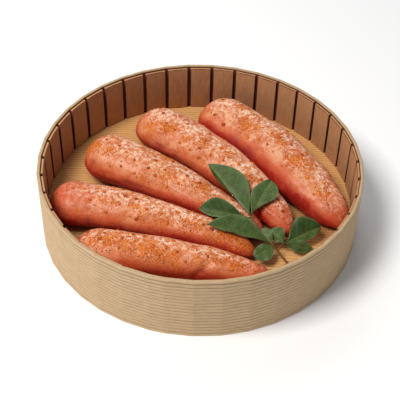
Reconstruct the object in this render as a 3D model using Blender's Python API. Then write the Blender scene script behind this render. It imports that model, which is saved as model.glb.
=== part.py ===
"""A round kraft-board tray with five seasoned roe sacs and a sprig of green leaves.

Metres, +Z up. The origin is at the bottom centre of the tray. The sacs lie side by side
on the raised floor, fat ends to the left, and the sprig lies over their thin ends.
"""
import math
import random

import bmesh
import bpy
from mathutils import Vector, noise

MM = 0.001

# Tray
TRAY_RADIUS = 97.5 * MM
TRAY_HEIGHT = 45.0 * MM
BOARD = 1.9 * MM
RIM_ROUNDING = 0.6 * MM
PANEL_TURN = math.radians(9.336)
PANEL_COUNT = 39
FIRST_CORNER = math.radians(-100.5)
LEDGE_HEIGHT = 43.7 * MM
SLOT_WIDTH = 1.9 * MM
SLOT_NOTCH = 0.7 * MM
FLOOR_TOP = 11.5 * MM
FLOOR_BOARD = 2.0 * MM
GAP = 0.3 * MM
TAB_FOOT = FLOOR_TOP + GAP

# Sacs
REST_HEIGHT = FLOOR_TOP + GAP
AROUND = 18
RINGS = 27
END_CROWDING = 0.13
HEAD_ROUNDING = 1.05
LONGEST_END = 0.45
MIDDLE_LIFT = 0.97
END_DROP = 0.25
LUMP_SIZE = 24.0 * MM
LUMP_HEIGHT = 1.1 * MM
LUMP_INSET = 0.1
RELIEF_START = 0.4
SHARP_ANGLE = math.radians(32)

# Seam along one sac
RIDGED_SAC = "roe_4"
RIDGE_HEIGHT = 0.9 * MM
RIDGE_TURN = math.radians(42)
RIDGE_SPREAD = 0.3
RIDGE_REACH = (0.22, 0.97)

# Tail half of one sac, which leans on its neighbour and sags on that side
LEANING_SAC = "roe_5"
LEAN = 1.2 * MM
SAG = 2.9 * MM
SAG_TURN = math.radians(203)
SAG_SPREAD = 0.84
LEAN_REACH = (0.38, 0.97)

# Chili flakes fused to the sacs
FLAKES_PER_SAC = 26
FLAKE_SIDES = 5
FLAKE_RADIUS = (0.8 * MM, 1.3 * MM)
FLAKE_OUTLINE = (0.8, 1.2)
FLAKE_TOP = 0.72
FLAKE_RISE = (0.45 * MM, 0.6 * MM)
FLAKE_ROOT = 0.6 * MM
FLAKE_SPACING = 6.0 * MM
FLAKE_REACH = (0.07, 0.93)
FLAKE_ARC = (math.radians(38), math.radians(142))

# Sprig
LEAF_THICKNESS = 0.5 * MM
LEAF_STEPS = 9
LEAF_LANES = (-1.0, -0.5, 0.0, 0.5, 1.0)
BASE_POWER = 1.15
LEAF_END_WIDTH = 0.3 * MM
LEAF_WAVE = 0.35 * MM
LEAF_WAVES = 2.5
SIDE_SHIFT = 1.7
STEM_RADIUS = 0.55 * MM
BRANCH_RADIUS = 0.45 * MM
STEM_SIDES = 6


def millimetres(*values):
    """Return a vector given in millimetres."""
    return Vector(values) * MM


class Sac:
    """Plan position and driving sizes of one sac, in millimetres and shares."""

    def __init__(self, name, head, tail, bow, half_width, tail_share, taper, tail_rounding,
                 height_share, seed):
        self.name = name
        self.head = Vector(head) * MM
        self.tail = Vector(tail) * MM
        self.bow = bow
        self.half_width = half_width * MM
        self.tail_share = tail_share
        self.taper = taper
        self.tail_rounding = tail_rounding
        self.height_share = height_share
        self.seed = seed


def make_sacs():
    """List the sacs from the front of the tray to the back."""
    return [
        Sac("roe_1", (-71.8, -53.1), (44.5, -69.0), 0.023, 13.8, 0.48, 2.4, 2.3, 0.76, 11),
        Sac("roe_2", (-90.5, -14.9), (33.0, -49.0), 0.044, 15.2, 0.45, 2.2, 1.9, 0.76, 12),
        Sac("roe_3", (-71.5, 29.4), (38.5, -32.5), 0.023, 17.8, 0.36, 1.8, 1.8, 0.78, 13),
        Sac("roe_4", (-41.0, 61.9), (54.5, -31.5), 0.065, 16.5, 0.50, 2.1, 2.2, 0.77, 14),
        Sac("roe_5", (0.8, 73.6), (85.7, -25.8), 0.072, 17.2, 0.52, 3.6, 1.5, 0.77, 15),
    ]


def material(name, colour, roughness):
    """Make a plain material from a colour and a roughness."""
    result = bpy.data.materials.new(name)
    result.use_nodes = True
    shader = result.node_tree.nodes["Principled BSDF"]
    shader.inputs["Base Color"].default_value = (*colour, 1.0)
    shader.inputs["Roughness"].default_value = roughness
    shader.inputs["Metallic"].default_value = 0.0
    return result


def add_object(name, mesh_builder, finish):
    """Turn a finished bmesh into an object with one material."""
    bmesh.ops.recalc_face_normals(mesh_builder, faces=mesh_builder.faces)
    mesh = bpy.data.meshes.new(name)
    mesh_builder.to_mesh(mesh)
    mesh_builder.free()
    mesh.materials.append(finish)
    result = bpy.data.objects.new(name, mesh)
    bpy.context.scene.collection.objects.link(result)
    return result


def corner_angles():
    """Angles of the tray's corners; the last panel, at the seam, is a narrow one."""
    return [FIRST_CORNER + PANEL_TURN * step for step in range(PANEL_COUNT)]


def plan_point(angle, next_angle, along, inset):
    """Point on a tray panel: along runs from its first corner, inset goes to the axis."""
    start = Vector((math.cos(angle), math.sin(angle))) * TRAY_RADIUS
    end = Vector((math.cos(next_angle), math.sin(next_angle))) * TRAY_RADIUS
    run = (end - start).normalized()
    inward = Vector((-run.y, run.x))
    return start + run * along + inward * inset


def corner_point(angle, inset):
    """Corner of the tray's polygon, moved in so that the panels keep their thickness."""
    radius = TRAY_RADIUS - inset / math.cos(PANEL_TURN / 2)
    return Vector((math.cos(angle), math.sin(angle))) * radius


def wall_column(builder, place, notch=0.0, tabbed=True):
    """Named vertices of the wall's section where place(inset) puts them in plan."""
    section = {
        "foot": (0.0, 0.0),
        "brow": (0.0, TRAY_HEIGHT - RIM_ROUNDING),
        "rim": (RIM_ROUNDING, TRAY_HEIGHT),
        "lip": (BOARD, TRAY_HEIGHT - notch),
        "inner_foot": (BOARD, 0.0),
    }
    if tabbed:
        section["ledge"] = (BOARD, LEDGE_HEIGHT)
        section["hem"] = (BOARD, TAB_FOOT)
        section["tab_top"] = (2 * BOARD, LEDGE_HEIGHT)
        section["tab_low"] = (2 * BOARD, TAB_FOOT)
    return {name: builder.verts.new((*place(inset), height))
            for name, (inset, height) in section.items()}


def add_strip(builder, first, second, names):
    """Faces between two columns, one for each pair of neighbouring names."""
    for low, high in zip(names, names[1:]):
        builder.faces.new((first[low], first[high], second[high], second[low]))


def build_wall(finish):
    """The wall: outer board, folded rim and a row of inner tabs with slots between them."""
    builder = bmesh.new()
    angles = corner_angles()
    corners = [wall_column(builder, lambda inset, angle=angle: corner_point(angle, inset),
                           notch=SLOT_NOTCH, tabbed=False) for angle in angles]
    for index, angle in enumerate(angles):
        following = (index + 1) % PANEL_COUNT
        next_angle = angles[following]
        length = (corner_point(next_angle, 0.0) - corner_point(angle, 0.0)).length
        sides = []
        for along in (SLOT_WIDTH / 2, length - SLOT_WIDTH / 2):
            sides.append(wall_column(
                builder, lambda inset, along=along: plan_point(angle, next_angle, along, inset)))
        for corner, side in zip((corners[index], corners[following]), sides):
            add_strip(builder, corner, side, ("inner_foot", "foot", "brow", "rim", "lip"))
            builder.faces.new((corner["lip"], corner["inner_foot"], side["inner_foot"],
                               side["hem"], side["ledge"], side["lip"]))
            builder.faces.new([side[name] for name in ("ledge", "hem", "tab_low", "tab_top")])
        add_strip(builder, *sides, ("foot", "brow", "rim", "lip", "ledge", "tab_top", "tab_low",
                                    "hem", "inner_foot", "foot"))
    return add_object("tray_wall", builder, finish)


def build_floor(finish):
    """The raised floor: a disc whose turned-down skirt stands inside the wall."""
    builder = bmesh.new()
    outside = BOARD + GAP
    inside = outside + FLOOR_BOARD
    section = [
        (outside, 0.0),
        (outside, FLOOR_TOP),
        (inside, FLOOR_TOP - FLOOR_BOARD),
        (inside, 0.0),
    ]
    rings = []
    for inset, height in section:
        ring = []
        for angle in corner_angles():
            plan = corner_point(angle, inset)
            ring.append(builder.verts.new((plan.x, plan.y, height)))
        rings.append(ring)
    for lower, upper in ((0, 1), (2, 3), (3, 0)):
        for index in range(PANEL_COUNT):
            following = (index + 1) % PANEL_COUNT
            builder.faces.new((rings[lower][index], rings[lower][following],
                               rings[upper][following], rings[upper][index]))
    builder.faces.new(rings[1])
    builder.faces.new(rings[2])
    return add_object("tray_floor", builder, finish)


def sac_half_width(sac, share):
    """Half width of a sac at a share of its length, with the rounding of both ends."""
    length = (sac.tail - sac.head).length
    head = min(LONGEST_END, HEAD_ROUNDING * sac.half_width / length)
    tail = min(LONGEST_END, sac.tail_rounding * sac.tail_share * sac.half_width / length)
    width = sac.half_width * (1 - (1 - sac.tail_share) * share ** sac.taper)
    cap = 1.0
    if share < head:
        cap = math.sqrt(max(0.0, 1 - (1 - share / head) ** 2))
    if share > 1 - tail:
        cap *= math.sqrt(max(0.0, 1 - ((share - 1 + tail) / tail) ** 2))
    return width, width * cap


def sac_centre(sac, share):
    """Plan point of a sac's bowed centre line, and the direction across it."""
    run = sac.tail - sac.head
    length = run.length
    across = Vector((-run.y, run.x)) / length
    point = sac.head + run * share + across * (4 * share * (1 - share) * sac.bow * length)
    slope = run + across * (4 * (1 - 2 * share) * sac.bow * length)
    slope.normalize()
    return point, Vector((-slope.y, slope.x))


def ridge_height(share, turn):
    """Height of the long seam that runs along the far upper side of one sac."""
    first, last = RIDGE_REACH
    if not first < share < last:
        return 0.0
    across = math.exp(-((turn - RIDGE_TURN) / RIDGE_SPREAD) ** 2)
    return RIDGE_HEIGHT * across * math.sin(math.pi * (share - first) / (last - first)) ** 0.5


def lean_relief(share, turn):
    """Relief that shifts the tail half of one sac sideways and lets its lower side sag."""
    first, last = LEAN_REACH
    if not first < share < last:
        return 0.0
    along = math.sin(math.pi * (share - first) / (last - first))
    side = turn - SAG_TURN
    return along * (LEAN * math.cos(side) + SAG * math.exp(-(side / SAG_SPREAD) ** 2))


def sac_point(sac, share, turn):
    """Point on a sac's skin; turn goes round the section from its far side over the top."""
    plain_width, width = sac_half_width(sac, share)
    centre, across = sac_centre(sac, share)
    plain_rise = plain_width * sac.height_share
    rise = width * sac.height_share
    middle = REST_HEIGHT + plain_rise * MIDDLE_LIFT - END_DROP * (plain_rise - rise)
    plan = centre + across * (width * math.cos(turn))
    point = Vector((plan.x, plan.y, middle + rise * math.sin(turn)))
    outward = Vector((across.x * math.cos(turn), across.y * math.cos(turn), math.sin(turn)))
    lump = noise.noise(point / LUMP_SIZE + Vector((sac.seed, 0.0, 0.0))) * LUMP_HEIGHT
    relief = lump - LUMP_HEIGHT * LUMP_INSET
    if sac.name == RIDGED_SAC:
        relief += ridge_height(share, turn)
    if sac.name == LEANING_SAC:
        relief += lean_relief(share, turn)
    point += outward * relief * min(1.0, width / (RELIEF_START * sac.half_width))
    point.z = max(point.z, REST_HEIGHT)
    return point


def sac_normal(sac, share, turn):
    """Outward direction of the skin, from two short steps along it."""
    step = 0.01
    along = sac_point(sac, share + step, turn) - sac_point(sac, share - step, turn)
    around = sac_point(sac, share, turn + step) - sac_point(sac, share, turn - step)
    return along.cross(around).normalized() * -1.0


def ring_shares():
    """Shares of the length for the rings, closer together towards both ends."""
    shares = []
    for step in range(1, RINGS):
        even = step / RINGS
        shares.append(even - END_CROWDING * math.sin(math.tau * even))
    return shares


def build_flake(sac, draw, share, turn, collection):
    """One chili flake: a small chip with an uneven outline, its root inside the sac."""
    place = sac_point(sac, share, turn)
    up = sac_normal(sac, share, turn)
    side = up.orthogonal().normalized()
    other = up.cross(side)
    radius = draw.uniform(*FLAKE_RADIUS)
    start = draw.uniform(0, math.tau)
    reaches = [radius * draw.uniform(*FLAKE_OUTLINE) for _ in range(FLAKE_SIDES)]
    builder = bmesh.new()
    rings = []
    for level, size in ((-FLAKE_ROOT, 1.0), (draw.uniform(*FLAKE_RISE), FLAKE_TOP)):
        ring = []
        for index, reach in enumerate(reaches):
            angle = start + math.tau * index / FLAKE_SIDES
            way = side * math.cos(angle) + other * math.sin(angle)
            ring.append(builder.verts.new(place + up * level + way * (reach * size)))
        rings.append(ring)
    for index in range(FLAKE_SIDES):
        following = (index + 1) % FLAKE_SIDES
        builder.faces.new((rings[0][index], rings[0][following], rings[1][following], rings[1][index]))
    builder.faces.new(rings[0])
    builder.faces.new(rings[1])
    bmesh.ops.recalc_face_normals(builder, faces=builder.faces)
    mesh = bpy.data.meshes.new("flake")
    builder.to_mesh(mesh)
    builder.free()
    flake = bpy.data.objects.new("flake", mesh)
    collection.objects.link(flake)


def scatter_flakes(sac, collection):
    """Spread the flakes over the top of a sac, none too close to another."""
    draw = random.Random(sac.seed)
    placed = []
    while len(placed) < FLAKES_PER_SAC:
        share = draw.uniform(*FLAKE_REACH)
        turn = draw.uniform(*FLAKE_ARC)
        spot = sac_point(sac, share, turn)
        if all((spot - other).length > FLAKE_SPACING for other in placed):
            placed.append(spot)
            build_flake(sac, draw, share, turn, collection)


def fuse(target, collection):
    """Join everything in the collection to the target as one closed body."""
    union = target.modifiers.new("fuse", "BOOLEAN")
    union.operation = "UNION"
    union.operand_type = "COLLECTION"
    union.collection = collection
    union.solver = "EXACT"
    depsgraph = bpy.context.evaluated_depsgraph_get()
    joined = bpy.data.meshes.new_from_object(target.evaluated_get(depsgraph))
    target.modifiers.clear()
    target.data = joined
    for piece in list(collection.objects):
        bpy.data.objects.remove(piece)
    bpy.data.collections.remove(collection)


def build_sac(sac, finish):
    """One sac: rings of skin between two end points, with its flakes fused on."""
    builder = bmesh.new()
    rings = []
    for share in ring_shares():
        rings.append([builder.verts.new(sac_point(sac, share, math.tau * step / AROUND))
                      for step in range(AROUND)])
    head = builder.verts.new(sac_point(sac, 0.0, 0.0))
    tail = builder.verts.new(sac_point(sac, 1.0, 0.0))
    for near, far in zip(rings, rings[1:]):
        for step in range(AROUND):
            following = (step + 1) % AROUND
            builder.faces.new((near[step], near[following], far[following], far[step]))
    for step in range(AROUND):
        following = (step + 1) % AROUND
        builder.faces.new((head, rings[0][following], rings[0][step]))
        builder.faces.new((tail, rings[-1][step], rings[-1][following]))
    result = add_object(sac.name, builder, finish)
    collection = bpy.data.collections.new(sac.name + "_flakes")
    bpy.context.scene.collection.children.link(collection)
    scatter_flakes(sac, collection)
    fuse(result, collection)
    result.data.shade_smooth()
    result.data.set_sharp_from_angle(angle=SHARP_ANGLE)
    return result


class Leaf:
    """One leaflet: its two ends and the widest point of each side, in millimetres.

    The tip power is low on a leaflet with a round end and near 1 on a pointed one.
    """

    def __init__(self, base, tip, left, right, tip_power, arch=1.0):
        self.base = millimetres(*base)
        self.tip = millimetres(*tip)
        self.left = millimetres(*left)
        self.right = millimetres(*right)
        self.tip_power = tip_power
        self.arch = arch * MM


def make_leaves():
    """List the leaflets, the top four first and then those near the foot of the stem."""
    return [
        Leaf((30.3, -27.7, 26.0), (4.7, 8.0, 35.0), (10.2, 0.2, 29.0), (27.0, -1.6, 34.5), 0.8),
        Leaf((30.3, -27.7, 26.0), (42.9, -3.2, 33.0), (31.6, -10.7, 31.0), (46.2, -13.8, 30.0), 0.5),
        Leaf((31.3, -29.0, 25.5), (-0.5, -25.4, 29.0), (10.2, -30.8, 27.2), (11.5, -18.0, 31.0), 0.8),
        Leaf((42.2, -43.4, 20.3), (4.6, -40.2, 31.0), (20.7, -43.6, 27.0), (23.9, -31.2, 30.0), 0.85),
        Leaf((50.9, -40.9, 18.3), (72.2, -30.5, 21.0), (58.5, -26.6, 25.0), (63.4, -38.4, 17.0), 0.45),
        Leaf((50.4, -41.4, 18.3), (67.2, -43.6, 15.0), (61.1, -39.1, 18.0), (58.3, -45.0, 14.0), 0.5),
        Leaf((43.2, -44.3, 19.7), (35.6, -35.0, 23.0), (36.9, -40.4, 20.0), (42.4, -36.8, 23.0), 0.5),
        Leaf((49.9, -42.0, 18.35), (41.6, -34.6, 22.0), (43.6, -40.0, 19.0), (49.8, -33.6, 22.0), 0.5),
        Leaf((43.9, -44.9, 19.2), (32.2, -53.9, 19.5), (41.2, -54.3, 17.0), (35.3, -46.0, 20.5), 0.4),
    ]


def stem_routes():
    """Routes of the main stem, from its cut foot to the top leaflets, and of its branch."""
    main_stem = [millimetres(*point) for point in (
        (52.9, -54.0, 12.8), (48.8, -49.6, 15.3), (46.2, -46.7, 17.5),
        (42.8, -44.0, 20.0), (36.4, -35.8, 23.2), (30.3, -27.7, 26.0))]
    branch = [millimetres(*point) for point in (
        (46.2, -46.7, 17.5), (48.6, -43.4, 18.4), (51.0, -40.8, 18.3))]
    return [("sprig", main_stem, STEM_RADIUS), ("branch", branch, BRANCH_RADIUS)]


def leaf_side(leaf, edge):
    """Share of the length where a side is widest, and the way from the midrib to its edge."""
    run = leaf.tip - leaf.base
    share = (edge - leaf.base).dot(run) / run.length_squared
    return share, edge - (leaf.base + run * share)


def leaf_point(leaf, share, lane):
    """Point on a leaflet's middle surface; lane runs from its left edge to its right."""
    run = leaf.tip - leaf.base
    edge = leaf.left if lane < 0 else leaf.right
    widest, side = leaf_side(leaf, edge)
    skew = math.log(0.5) / math.log(widest)
    power = BASE_POWER + (leaf.tip_power - BASE_POWER) * share
    fullness = math.sin(math.pi * share ** skew) ** power if 0 < share < 1 else 0.0
    width = max(fullness, LEAF_END_WIDTH / side.length)
    ripple = math.sin(math.tau * LEAF_WAVES * share + lane * SIDE_SHIFT) * LEAF_WAVE * abs(lane)
    rise = leaf.arch * 4 * share * (1 - share) + ripple
    return leaf.base + run * share + side * (width * abs(lane)) + leaf_up(leaf) * rise


def leaf_up(leaf):
    """Upward direction square to a leaflet's midrib and to the line between its edges."""
    run = leaf.tip - leaf.base
    up = run.cross(leaf.right - leaf.left).normalized()
    return -up if up.z < 0 else up


def build_leaf(leaf, collection):
    """A thin wavy solid: an upper and a lower sheet of like triangles and a rim strip."""
    builder = bmesh.new()
    sheets = []
    for offset in (LEAF_THICKNESS / 2, -LEAF_THICKNESS / 2):
        lift = leaf_up(leaf) * offset
        sheet = []
        for step in range(LEAF_STEPS + 1):
            share = step / LEAF_STEPS
            sheet.append([builder.verts.new(leaf_point(leaf, share, lane) + lift)
                          for lane in LEAF_LANES])
        sheets.append(sheet)
    lanes = len(LEAF_LANES)
    for sheet in sheets:
        for near, far in zip(sheet, sheet[1:]):
            for lane in range(lanes - 1):
                builder.faces.new((near[lane], near[lane + 1], far[lane + 1]))
                builder.faces.new((near[lane], far[lane + 1], far[lane]))
    upper, lower = sheets
    loop = [(0, lane) for lane in range(lanes)]
    loop += [(step, lanes - 1) for step in range(1, LEAF_STEPS + 1)]
    loop += [(LEAF_STEPS, lane) for lane in range(lanes - 2, -1, -1)]
    loop += [(step, 0) for step in range(LEAF_STEPS - 1, 0, -1)]
    for (row, lane), (next_row, next_lane) in zip(loop, loop[1:] + loop[:1]):
        builder.faces.new((upper[row][lane], upper[next_row][next_lane],
                           lower[next_row][next_lane], lower[row][lane]))
    bmesh.ops.recalc_face_normals(builder, faces=builder.faces)
    mesh = bpy.data.meshes.new("leaflet")
    builder.to_mesh(mesh)
    builder.free()
    collection.objects.link(bpy.data.objects.new("leaflet", mesh))


def build_tube(name, route, radius, finish):
    """A stem along a route, with a flat cap at each end."""
    builder = bmesh.new()
    rings = []
    for index, point in enumerate(route):
        before = route[max(index - 1, 0)]
        after = route[min(index + 1, len(route) - 1)]
        along = (after - before).normalized()
        side = along.cross(Vector((0.0, 0.0, 1.0))).normalized()
        other = side.cross(along)
        ring = []
        for step in range(STEM_SIDES):
            angle = math.tau * step / STEM_SIDES
            ring.append(builder.verts.new(point + (side * math.cos(angle)
                                                   + other * math.sin(angle)) * radius))
        rings.append(ring)
    for near, far in zip(rings, rings[1:]):
        for step in range(STEM_SIDES):
            following = (step + 1) % STEM_SIDES
            builder.faces.new((near[step], near[following], far[following], far[step]))
    builder.faces.new(rings[0])
    builder.faces.new(rings[-1])
    return add_object(name, builder, finish)


def build_sprig(finish):
    """The stem, its branch and every leaflet, fused to one solid."""
    collection = bpy.data.collections.new("sprig_pieces")
    bpy.context.scene.collection.children.link(collection)
    tubes = [build_tube(name, route, radius, finish) for name, route, radius in stem_routes()]
    for extra in tubes[1:]:
        bpy.context.scene.collection.objects.unlink(extra)
        collection.objects.link(extra)
    for leaf in make_leaves():
        build_leaf(leaf, collection)
    fuse(tubes[0], collection)
    return tubes[0]


def clear_scene():
    """Remove every object that the file starts with."""
    for item in list(bpy.data.objects):
        bpy.data.objects.remove(item)


def main():
    """Build the tray, the sacs and the sprig."""
    clear_scene()
    kraft = material("kraft_board", (0.62, 0.44, 0.26), 0.8)
    floor_board = material("floor_board", (0.60, 0.38, 0.18), 0.75)
    skin = material("roe_skin", (0.85, 0.36, 0.24), 0.35)
    green = material("leaf_green", (0.06, 0.20, 0.06), 0.4)
    build_wall(kraft)
    build_floor(floor_board)
    for sac in make_sacs():
        build_sac(sac, skin)
    build_sprig(green)


main()
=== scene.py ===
"""Looks of the round kraft tray with five seasoned roe sacs and a sprig of green leaves."""
import math
import random
from dataclasses import dataclass

import bmesh
import bpy
import numpy as np
from mathutils import Matrix, Vector, noise
from mathutils.kdtree import KDTree


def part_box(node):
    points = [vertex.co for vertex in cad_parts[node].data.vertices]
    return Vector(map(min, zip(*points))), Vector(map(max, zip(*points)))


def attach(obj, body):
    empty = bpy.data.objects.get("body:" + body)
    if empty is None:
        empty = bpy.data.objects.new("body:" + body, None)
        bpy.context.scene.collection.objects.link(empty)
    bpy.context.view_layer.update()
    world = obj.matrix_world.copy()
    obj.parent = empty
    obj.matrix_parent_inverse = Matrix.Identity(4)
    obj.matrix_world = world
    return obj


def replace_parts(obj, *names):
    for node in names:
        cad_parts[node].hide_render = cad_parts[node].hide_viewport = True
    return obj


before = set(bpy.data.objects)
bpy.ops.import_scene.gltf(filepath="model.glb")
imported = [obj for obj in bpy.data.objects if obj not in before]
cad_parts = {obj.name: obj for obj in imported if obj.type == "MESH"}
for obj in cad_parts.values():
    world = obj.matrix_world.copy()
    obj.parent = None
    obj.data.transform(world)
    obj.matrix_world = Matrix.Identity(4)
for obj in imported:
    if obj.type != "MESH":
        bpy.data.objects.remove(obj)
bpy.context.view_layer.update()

MM = 0.001
BODY = "root"

# Camera
LENS = 86.77
SENSOR = 36.0
CAMERA_ELEVATION = math.radians(43.703)
CAMERA_ROLL = math.radians(1.397)
CAMERA_DISTANCE = 0.6169
CAMERA_TARGET = Vector((0.00024, 0.01254, 0.0))

# Tray
TRAY_RADIUS = 97.5 * MM
TRAY_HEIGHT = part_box("tray_wall")[1].z
BOARD = 1.9 * MM
RIM_ROUNDING = 0.6 * MM
RIM_STEPS = 4
PANEL_TURN = math.radians(9.336)
PANEL_COUNT = 39
PANEL_SHARES = (0.0, 0.03, 0.06, 0.1, 0.3, 0.5, 0.7, 0.9, 0.94, 0.97)
FIRST_CORNER = math.radians(-100.5)
SLOT_WIDTH = 1.9 * MM
LEDGE_HEIGHT = 43.7 * MM
TAB_GAP = 0.3 * MM
TAB_ROUNDING = 0.3 * MM
TAB_UNEVENNESS = 0.15 * MM
FRONT_TAB_DROP = 0.9 * MM
GAP = 0.3 * MM
FLOOR_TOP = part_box("tray_floor")[1].z
FLOOR_BOARD = 2.0 * MM
REST_HEIGHT = FLOOR_TOP + GAP
CREASE_ANGLE = math.radians(50)

# Ribs of the board
WALL_RIB = 2.5 * MM
WALL_RIB_DEPTH = 0.24 * MM
# Share of the painted groove shade, and of the rib unevenness, on the lower ribs
FAINT_RIBS = 0.55
TOP_RIB = 42.9 * MM
SECOND_RIB = 39.8 * MM
FLOOR_RIB = 2.25 * MM
FLOOR_RIB_DEPTH = 0.28 * MM
FLOOR_STEPS = 72
RIB_PHASES = (0.0, 0.07, 0.16, 0.32, 0.5, 0.68, 0.84, 0.93)
RIB_SHARPNESS = 0.45
RIB_NOISE = 60
HEIGHT_NOISE = 400
RIB_UNEVENNESS = 0.25
GROOVE_UNEVENNESS = 0.35

# Juice stains with painted shade on the floor beside the sacs: their reach from a sac, and how
# uneven their edge is
JUICE_AND_SHADE_REACH = (1.0 * MM, 7.0 * MM)
JUICE_AND_SHADE_UNEVENNESS = 2.5 * MM

# Sacs
AROUND = 144
RINGS = 300
END_CROWDING = 0.13
END_SHARE = 0.0005
HEAD_ROUNDING = 1.05
LONGEST_END = 0.45
MIDDLE_LIFT = 0.97
END_DROP = 0.25
LUMP_SIZE = 24.0 * MM
LUMP_HEIGHT = 1.1 * MM
LUMP_INSET = 0.1
RELIEF_START = 0.4
RIDGED_SAC = "roe_4"
RIDGE_HEIGHT = 0.9 * MM
RIDGE_TURN = math.radians(42)
RIDGE_SPREAD = 0.3
RIDGE_REACH = (0.22, 0.97)
LEANING_SAC = "roe_5"
LEAN = 1.2 * MM
SAG = 2.9 * MM
SAG_TURN = math.radians(203)
SAG_SPREAD = 0.84
LEAN_REACH = (0.38, 0.97)

# Finer relief of the skin: size and height of each layer of lumps
FINE_LUMPS = ((9.0 * MM, 0.34 * MM), (4.0 * MM, 0.16 * MM), (1.7 * MM, 0.07 * MM))
WRINKLE_LENGTH = 16.0 * MM
WRINKLE_TURN = 0.35
WRINKLE_HEIGHT = 0.16 * MM

# Chili: the large flakes, then the heaps that the finer grains keep to
FLAKES_PER_SAC = 26
FLAKE_SIDES = 5
FLAKE_RADIUS = (0.8 * MM, 1.3 * MM)
FLAKE_OUTLINE = (0.8, 1.2)
FLAKE_RISE = (0.45 * MM, 0.6 * MM)
FLAKE_SPACING = 6.0 * MM
FLAKE_REACH = (0.07, 0.93)
FLAKE_ARC = (math.radians(38), math.radians(142))
FLAKE_ROOT = 0.4 * MM
FLAKE_CRUMBLE = (0.78, 1.16)
FLAKE_ROUGHNESS = (0.6, 1.1)
HEAP_SPREAD = 0.75
SPOT_REACH = 1.15
CROWD_SIZE = 7.0 * MM
CROWD_SHARE = 0.45
CROWD_CONTRAST = 1.1
GRAIN_UNEVENNESS = (0.7, 1.3)
GRAIN_SINK = 0.4
OCTAHEDRON = ((0, 2, 4), (2, 1, 4), (1, 3, 4), (3, 0, 4),
              (2, 0, 5), (1, 2, 5), (3, 1, 5), (0, 3, 5))

# Sprig
LEAF_THICKNESS = 0.42 * MM
LEAF_STEPS = 44
LEAF_LANES = 24
BASE_POWER = 1.15
LEAF_END_WIDTH = 0.3 * MM
LEAF_ARCH = 1.0 * MM
LEAF_WAVE = 0.35 * MM
LEAF_WAVES = 2.5
SIDE_SHIFT = 1.7
SIDE_VEINS = 7
VEIN_SLANT = 0.22
VEIN_DEPTH = 0.07 * MM
VEIN_WIDTH = 0.12
MIDRIB_DEPTH = 0.22 * MM
MIDRIB_WIDTH = 0.09
STEM_RADIUS = 0.62 * MM
BRANCH_RADIUS = 0.42 * MM
STEM_SIDES = 12
STEM_TAPER = 0.3
DROP_RINGS = 6
DROP_SIDES = 14
DROP_FLATNESS = 0.6

# Light and ground
GROUND_REACH = 4.0
GROUND_DROP = 0.1 * MM
WORLD_STRENGTH = 0.28


def srgb(red, green, blue):
    """Linear colour from the 0 to 255 values that a picture shows."""
    linear = []
    for value in (red, green, blue):
        share = value / 255
        linear.append(share / 12.92 if share <= 0.04045 else ((share + 0.055) / 1.055) ** 2.4)
    return (*linear, 1.0)


def millimetres(*values):
    """Return a vector given in millimetres."""
    return Vector(values) * MM


def bell(distance, width):
    """Smooth hump that falls to a third at its width."""
    return np.exp(-(distance / width) ** 2)


def fade(distance, reach):
    """1 up to the first distance, 0 from the second on."""
    near, far = reach
    return np.clip((far - distance) / (far - near), 0, 1)


# Meshes

def link(name, data):
    """Link a new object that holds some data."""
    thing = bpy.data.objects.new(name, data)
    bpy.context.scene.collection.objects.link(thing)
    return thing


def dress(mesh, finishes, angle):
    """Link a smooth mesh, sharp from an angle on, as a piece that rides on the tray's body."""
    for finish in finishes:
        mesh.materials.append(finish)
    mesh.shade_smooth()
    if angle:
        mesh.set_sharp_from_angle(angle=angle)
    piece = link(mesh.name, mesh)
    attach(piece, BODY)
    return piece


def new_piece(name, points, faces, *finishes, angle=None):
    """Link a piece made of points and faces."""
    mesh = bpy.data.meshes.new(name)
    mesh.from_pydata([tuple(point) for point in points], [], faces)
    return dress(mesh, finishes, angle)


def store(piece, name, values):
    """Keep one number for each point under a name that the material reads."""
    layer = piece.data.attributes.new(name, "FLOAT", "POINT")
    layer.data.foreach_set("value", np.asarray(values, np.float32).ravel())


def ring_faces(rings, sides, capped=True):
    """Faces between rings of points that follow each other, with a cap at both ends."""
    faces = []
    for ring in range(rings - 1):
        near, far = ring * sides, (ring + 1) * sides
        for step in range(sides):
            following = (step + 1) % sides
            faces.append((near + step, near + following, far + following, far + step))
    if capped:
        faces.append(tuple(range(sides))[::-1])
        faces.append(tuple(range((rings - 1) * sides, rings * sides)))
    return faces


def circle(side, other, count, start=0.0):
    """Directions all round, from one of two square directions towards the other."""
    for step in range(count):
        angle = start + math.tau * step / count
        yield side * math.cos(angle) + other * math.sin(angle)


def tube_mesh(points, radii, sides):
    """Points and faces of a closed round tube along a list of points."""
    verts = []
    for index, (point, radius) in enumerate(zip(points, radii)):
        before = points[max(index - 1, 0)]
        after = points[min(index + 1, len(points) - 1)]
        along = (after - before).normalized()
        side = along.cross(Vector((0.0, 0.0, 1.0))).normalized()
        verts += [point + way * radius for way in circle(side, side.cross(along), sides)]
    return verts, [face[::-1] for face in ring_faces(len(points), sides)]


def point_tree(skins, stride):
    """Search tree over every so many points of some skins."""
    points = [point for skin in skins for point in skin.points[::stride]]
    tree = KDTree(len(points))
    for index, point in enumerate(points):
        tree.insert(point, index)
    tree.balance()
    return tree


class Grains:
    """One joined mesh of many small closed pieces, each with a tone of its own."""

    def __init__(self):
        self.points = []
        self.faces = []
        self.tones = []

    def add(self, points, faces, tone=0.0):
        """Add one closed small piece."""
        base = len(self.points)
        self.points += points
        self.faces += [tuple(base + index for index in face) for face in faces]
        self.tones += [tone] * len(points)

    def build(self, name, finish, slot):
        """Link the joined mesh."""
        piece = new_piece(name, self.points, self.faces, finish, angle=math.radians(40))
        store(piece, "tone", self.tones)
        return piece


# Materials

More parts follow.
